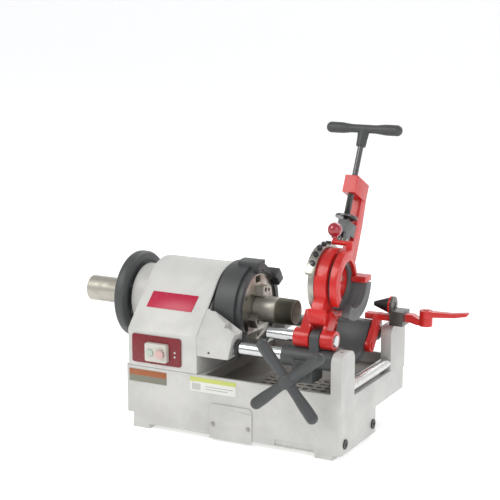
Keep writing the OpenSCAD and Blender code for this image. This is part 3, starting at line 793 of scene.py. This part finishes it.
@dataclass
class Headstock(Assembly):
    """Gear housing with its cover, plates, switch and the drive inside."""

    edge: float = 0.004

    def build(self) -> None:
        """Dresses the housing, the plates and the pieces inside."""
        self.dress("headstock_frame", "grey casting", GREY_CAST, 0.003, 3)
        self.dress("headstock_cover", "grey sheet", GREY_SHEET, self.edge, 3)
        self.dress("rear_cover", "grey sheet", GREY_SHEET, 0.0025, 3)
        self.dress("badge_plate", "badge", Printed((0.50, 0.006, 0.050)), 0.0004)
        self.dress("switch_plate", "switch plate", Printed((0.20, 0.012, 0.018), (
            Panel((-0.1385, 0.188), (-0.1345, 0.192), (0.62, 0.60, 0.56)),
            Panel((-0.1385, 0.178), (-0.1345, 0.182), (0.62, 0.60, 0.56)),
        )), 0.0012)
        self.dress("switch_box", "switch housing", Moulded((0.60, 0.585, 0.53), 0.38), 0.002, 3)
        self.dress("start_button", "start pale green", Moulded((0.44, 0.53, 0.45), 0.3, coat=0.3),
                   0.001)
        self.dress("stop_button", "stop pale red", Moulded((0.62, 0.40, 0.37), 0.3, coat=0.3),
                   0.0015)
        self.dress("data_plate", "data plate", Printed((0.20, 0.20, 0.15), (
            Panel((-0.262, 0.125), (-0.150, 0.142), (0.34, 0.105, 0.035)),)), 0.0003)
        self.dress("label_plate", "label", Printed((0.74, 0.74, 0.70), (
            Panel((-0.101, 0.131), (0.019, 0.143), (0.55, 0.60, 0.16)),
            Panel((-0.094, 0.112), (-0.072, 0.127), (0.50, 0.50, 0.47)),
            Panel((-0.060, 0.121), (0.010, 0.123), (0.42, 0.42, 0.40)),
            Panel((-0.060, 0.115), (-0.004, 0.117), (0.42, 0.42, 0.40)))), 0.0002)
        self.dress("motor", "dark casting", DARK_CAST, 0.0015)
        for gear in ("motor_pinion", "countershaft"):
            self.dress(gear, "gear steel", MILLED)
        self.dress("oil_pump", "mid casting", MID_CAST, 0.001)
        self.dress("oil_pipe", "drawn brass", Steel((0.62, 0.42, 0.14), 0.3, stain=0.4))
        self.dress("spindle_bearings", "bronze", Steel((0.55, 0.36, 0.14), 0.32, Grain.FACED))
        self.dress("spindle", "gear steel", MILLED)


@dataclass
class Chucks(Assembly):
    """Front hammer chuck and rear centring chuck."""

    def build(self) -> None:
        """Dresses both chucks."""
        self.dress("hammer_wheel", "dark casting", DARK_CAST, 0.006, 4)
        self.dress("chuck_body", "turned steel", TURNED, 0.001)
        for i in (1, 2, 3):
            self.dress(f"jaw_{i}", "jaw steel", MILLED, 0.0005, 1)
            self.dress(f"rear_jaw_{i}", "jaw steel", MILLED, 0.0005, 1)
        self.dress("rear_wheel", "dark casting", DARK_CAST, 0.003, 3)


@dataclass
class Carriage(Assembly):
    """Carriage casting, its pinion, cross handle and pivot shaft."""

    hub: tuple[float, float, float] = (0.176, -0.240, 0.186)
    reach: float = 0.1058
    tip: float = 0.0126
    waist: float = 0.0108
    swell: float = 0.0022
    first_grip: float = 39.0

    def build(self) -> None:
        """Dresses the carriage."""
        self.dress("carriage", "dark casting", DARK_CAST, 0.003, 3)
        self.dress("rack_pinion", "gear steel", MILLED)
        self.dress("head_pivot", "ground bar", GROUND_BAR, 0.0008)
        self.handle()

    def handle(self) -> None:
        """The cross handle: four grips that thicken toward their round tips, r = waist + swell s
        where s is a smooth step along the arm, and a low domed hub."""
        centre = np.array(self.hub)
        a = np.linspace(0.004, self.reach, 90)
        step = smooth_step((a - 0.022) / 0.055)
        radius = self.waist + self.swell * step
        tip = np.clip((a - self.reach + self.tip) / self.tip, 0, 1)
        profile = np.stack([a, radius * np.sqrt(1 - tip**2)], 1)
        shells = [Surface.turned(profile, centre, (math.cos(t), 0, math.sin(t)), 40)
                  for t in np.radians(self.first_grip + 90 * np.arange(4))]
        shells.append(Surface.turned(rounded_profile(
            [(-0.0145, 0, 0), (-0.0145, 0.0060, 0.002), (-0.0125, 0.0150, 0.004),
             (-0.006, 0.0172, 0.004), (0.010, 0.0168, 0.004), (0.0255, 0.0150, 0.002),
             (0.0258, 0.0092, 0)]), centre, (0, 1, 0), 56))
        made = Surface.from_shells("cross_grips", shells)
        self.add(made, "feed_handle", "dark casting", DARK_CAST, "dark_paint", ("cross_handle",))


@dataclass
class DieHead(Assembly):
    """Swinging die head, raised by tilt degrees about its pivot on the front bar."""

    tilt: float = 48.5
    pivot: tuple[float, float] = (-0.135, 0.256)
    offset: tuple[float, float] = (0.135, 0.014)
    ball: float = 0.016

    def build(self) -> None:
        """Dresses the die head."""
        self.dress("head_body", "red casting", RED_CAST, 0.0045, 4)
        self.dress("size_ring", "turned steel", TURNED, 0.0012)
        self.dress("size_bolts", "blacked steel", DARK_STEEL, 0.0008)
        self.dress("cam_plate", "mid casting", MID_CAST, 0.0018)
        self.knob()
        self.dress("head_lever", "red casting", RED_CAST, 0.0025, 3)
        for i in (1, 2, 3, 4):
            self.dress(f"chaser_{i}", "jaw steel", MILLED, 0.0004, 1)

    def knob(self) -> None:
        """The round knob: a ball that runs into a short collar, r = sqrt(R^2 - (a - A)^2) down to
        the collar's own radius."""
        ball, centre = self.ball, np.array([0.193, *self.raised(0.014, 0.112)])
        t = np.linspace(0.0, 1.0, 40)
        angle = np.pi * (0.16 + 0.84 * (1 - t))
        profile = np.stack([-ball * np.cos(angle), ball * np.sin(angle)], axis=1)[::-1]
        low = profile[0, 0]
        neck = rounded_profile([(low - 0.004, 0.0, 0), (low - 0.004, 0.0075, 0.0008),
                                (low - 0.0012, 0.0075, 0.001), (low, profile[0, 1], 0)])
        made = Surface.lathe("head_knob_ball", np.concatenate([neck, profile[1:]]), centre,
                             (0, 0, 1))
        self.add(made, "cam", "knob", Moulded((0.36, 0.006, 0.020), 0.16, dust=0.05, coat=0.8),
                 "knob_red", ("head_knob",))

    def raised(self, y: float, z: float) -> tuple[float, float]:
        """Where a point drawn about the raised head's centre lies in the machine."""
        reach = math.hypot(*self.offset)
        tilt = math.atan2(self.offset[1], self.offset[0]) + math.radians(self.tilt)
        return (y + self.pivot[0] + reach * math.cos(tilt),
                z + self.pivot[1] + reach * math.sin(tilt))


@dataclass
class Cutter(Assembly):
    """Swinging pipe cutter, drawn upright at screw_x and then raised about the rear bar."""

    lean: float = 42.3
    tilt: float = 68.8
    drop: float = 0.057
    screw_x: float = 0.118
    lead: float = 0.003

    def build(self) -> None:
        """Dresses the cutter."""
        self.dress("cutter_frame", "red casting", RED_CAST, 0.0075, 5)
        self.dress("cutter_slide", "mid casting", MID_CAST, 0.0015)
        self.dress("cutter_wheel", "jaw steel", MILLED)
        for i in (1, 2):
            self.dress(f"roller_{i}", "ground bar", GROUND_BAR, 0.0006)
        self.screw()

    def place(self, points: np.ndarray) -> np.ndarray:
        """Moves points drawn about the cutter's own axes to the raised cutter: p becomes
        R (p - hinge) + bar, where R turns by the lean less the tilt about X."""
        lean, turn = math.radians(self.lean), math.radians(self.lean - self.tilt)
        bar = np.array([0.0, *BAR])
        hinge = np.array([0.0, BAR[0] * math.cos(lean) - self.drop * math.sin(lean),
                          -BAR[0] * math.sin(lean) - self.drop * math.cos(lean)])
        c, s = math.cos(turn), math.sin(turn)
        return (points - hinge) @ np.array([[1, 0, 0], [0, c, -s], [0, s, c]]).T + bar

    def screw(self) -> None:
        """The feed screw with its thread, its collar disc and rod, and the waisted tee handle."""
        foot = (self.screw_x, 0, 0)
        z = np.linspace(0.085, 0.209, 420)
        fade = np.clip((0.2085 - z) / 0.001, 0, 1) * np.clip((z - 0.0855) / 0.001, 0, 1)
        thread = Surface.threaded(z, np.full_like(z, 0.008), 0.0013 * fade, self.lead,
                                  foot, (0, 0, 1), 48)
        ends = [Surface.turned(rounded_profile(rows), foot, (0, 0, 1), 48) for rows in (
            [(0.0845, 0, 0), (0.0845, 0.007, 0.0005), (0.0853, 0.008, 0)],
            [(0.1045, 0, 0), (0.1045, 0.0265, 0.0012), (0.110, 0.0265, 0.0018), (0.111, 0.0105, 0),
             (0.112, 0.0095, 0.001), (0.115, 0.008, 0)],
            [(0.2085, 0.008, 0), (0.210, 0.0078, 0.0006), (0.2105, 0.007, 0.0005),
             (0.212, 0.0068, 0), (0.287, 0.0068, 0)])]
        made = Surface.from_shells("feed_screw_rod", [self.place(g) for g in (thread, *ends)])
        self.add(made, "feed_screw", "screw steel dark", Steel((0.16, 0.16, 0.16), 0.34,
                 stain=0.3, stain_colour=(0.04, 0.037, 0.03)), "dark_paint", ("feed_screw",))
        x = np.linspace(-0.0965, 0.0965, 180)
        swell = smooth_step((np.abs(x) - 0.026) / 0.034)
        radius = 0.0102 + 0.0030 * swell
        far = np.clip((np.abs(x) - 0.0845) / 0.012, 0, 1)
        radius = radius * np.sqrt(1 - far**2)
        grip = Surface.turned(np.stack([x, radius], 1), (self.screw_x, 0, 0.328),
                              (1, 0, 0), 48)
        hub = Surface.turned(rounded_profile(
            [(0.2835, 0, 0), (0.2835, 0.0118, 0.002), (0.302, 0.0124, 0.006),
             (0.3165, 0.0142, 0.004), (0.330, 0.0150, 0)]), foot, (0, 0, 1), 48)
        squeeze = np.clip((hub[..., 2] - 0.300) / 0.028, 0, 1)
        hub[..., 1] *= 1 - 0.38 * squeeze
        made = Surface.from_shells("tee_handle", [self.place(grip), self.place(hub)])
        self.add(made, "feed_screw", "dark casting", DARK_CAST, "dark_paint", ("feed_screw",))


@dataclass
class Reamer(Assembly):
    """Swinging reamer."""

    def build(self) -> None:
        """Dresses the reamer."""
        self.dress("reamer_arm", "reamer casting", REAMER_CAST, 0.003, 3)
        self.dress("reamer_cone", "blacked steel", DARK_STEEL, 0.0004, 1)
        self.dress("reamer_handle", "red casting", RED_CAST, 0.002, 2)


@dataclass
class Workpiece(Assembly):
    """The clamped pipe with its cut thread, 11 turns to the inch."""

    pitch: float = INCH / 11
    outer: float = 0.03025
    bore: float = 0.0264
    end: float = 0.082
    tail: float = -0.468

    def build(self) -> None:
        """Makes the pipe: one closed profile whose outside carries the taper thread."""
        outer, bore, end, tail = self.outer, self.bore, self.end, self.tail
        x = np.concatenate([[tail, tail + 0.0008, -0.2, 0.0],
                            np.linspace(0.034, end - 0.0006, 240)])
        fade = np.clip((x - 0.036) / 0.006, 0, 1)
        taper = np.clip(x - 0.040, 0, 1) / 32
        core = outer - taper
        core[0] -= 0.0006
        skin = Surface.threaded(x, core, 0.00135 * fade, self.pitch, (0, 0, AXIS_Z), (1, 0, 0),
                                96)
        back = np.array([(end, outer - 0.0030), (end, bore + 0.0003), (end - 0.0006, bore),
                         (0.0, bore), (tail + 0.0006, bore), (tail, bore + 0.0005)])
        inside = Surface.turned(back, (0, 0, AXIS_Z), (1, 0, 0), 96)
        made = Surface.from_grid("pipe", np.concatenate([skin, inside]), wrap_u=True, wrap_v=True)
        self.add(made, "pipe", "threaded pipe", Threaded(), "pipe_steel", ("workpiece_pipe",))


@dataclass
class Studio:
    """Pale floor, soft light and the camera."""

    eye: tuple[float, float, float] = (1.4143, -2.7759, 1.0466)
    yaw: float = 27.6
    pitch: float = 11.6
    lens: float = 100.8

    def build(self) -> None:
        """Makes the floor, the lights and the camera."""
        scene = bpy.context.scene
        data = bpy.data.cameras.new("camera")
        data.lens, data.sensor_width, data.clip_end = self.lens, 36.0, 50.0
        camera = bpy.data.objects.new("camera", data)
        camera.location = self.eye
        camera.rotation_euler = (math.radians(90 - self.pitch), 0, math.radians(self.yaw))
        scene.collection.objects.link(camera)
        scene.camera = camera
        # The floor runs back flat and then climbs as a quarter circle, the same all along X
        a = np.linspace(0, np.pi / 2, 24)
        back = np.concatenate([[-40.0, -3.0, 0.0, 3.0], 5.0 + 3.0 * np.sin(a), [8.0]])
        high = np.concatenate([np.zeros(4), 3.0 - 3.0 * np.cos(a), [9.0]])
        x = np.linspace(-40, 40, 41)
        rows = np.broadcast_to(x[:, None], (x.size, back.size))
        floor = Surface.from_grid("floor", np.stack(
            [rows, np.broadcast_to(back, rows.shape), np.broadcast_to(high, rows.shape)], -1))
        g = Graph("floor")
        tone = g.mix(g.noise(3.0) * 0.2, (0.90, 0.90, 0.90), (0.87, 0.87, 0.87))
        floor.data.materials.append(g.finish(Base_Color=tone, Roughness=0.8,
                                             Emission_Color=(1, 1, 1), Emission_Strength=0.42))
        world = bpy.data.worlds.new("studio")
        world.use_nodes = True
        sky = world.node_tree.nodes["Background"]
        sky.inputs[0].default_value = (0.96, 0.98, 1.0, 1)
        sky.inputs[1].default_value = 0.48
        scene.world = world
        self.light("key", (-1.3, -1.9, 2.3), 1.6, 40, (1.0, 0.98, 0.95))
        self.light("fill", (2.4, -1.6, 1.5), 2.0, 20, (0.96, 0.98, 1.0))
        self.light("back", (0.4, 2.2, 2.2), 1.8, 26, (1.0, 1.0, 1.0))
        scene.view_settings.view_transform = "Standard"

    @staticmethod
    def light(name: str, place: tuple[float, float, float], size: float, power: float,
              colour: Colour) -> None:
        """Adds a square soft light that points at the machine.

        Args:
            name: its name.
            place: where it hangs.
            size: its side in metres.
            power: its power in watts.
            colour: its colour.
        """
        data = bpy.data.lights.new(name, "AREA")
        data.shape, data.size, data.energy, data.color = "SQUARE", size, power, colour
        lamp = bpy.data.objects.new(name, data)
        lamp.location = place
        lamp.rotation_mode = "QUATERNION"
        lamp.rotation_quaternion = (Vector((0, 0, 0.3)) - Vector(place)).to_track_quat("-Z", "Y")
        bpy.context.scene.collection.objects.link(lamp)


def main() -> None:
    """Builds the studio and every sub-assembly."""
    logging.basicConfig(level=logging.INFO, format="%(name)s: %(message)s")
    for part in (Studio(), Base(), Headstock(), Chucks(), Carriage(), DieHead(), Cutter(),
                 Reamer(), Workpiece()):
        part.build()


if __name__ == "__main__":
    main()
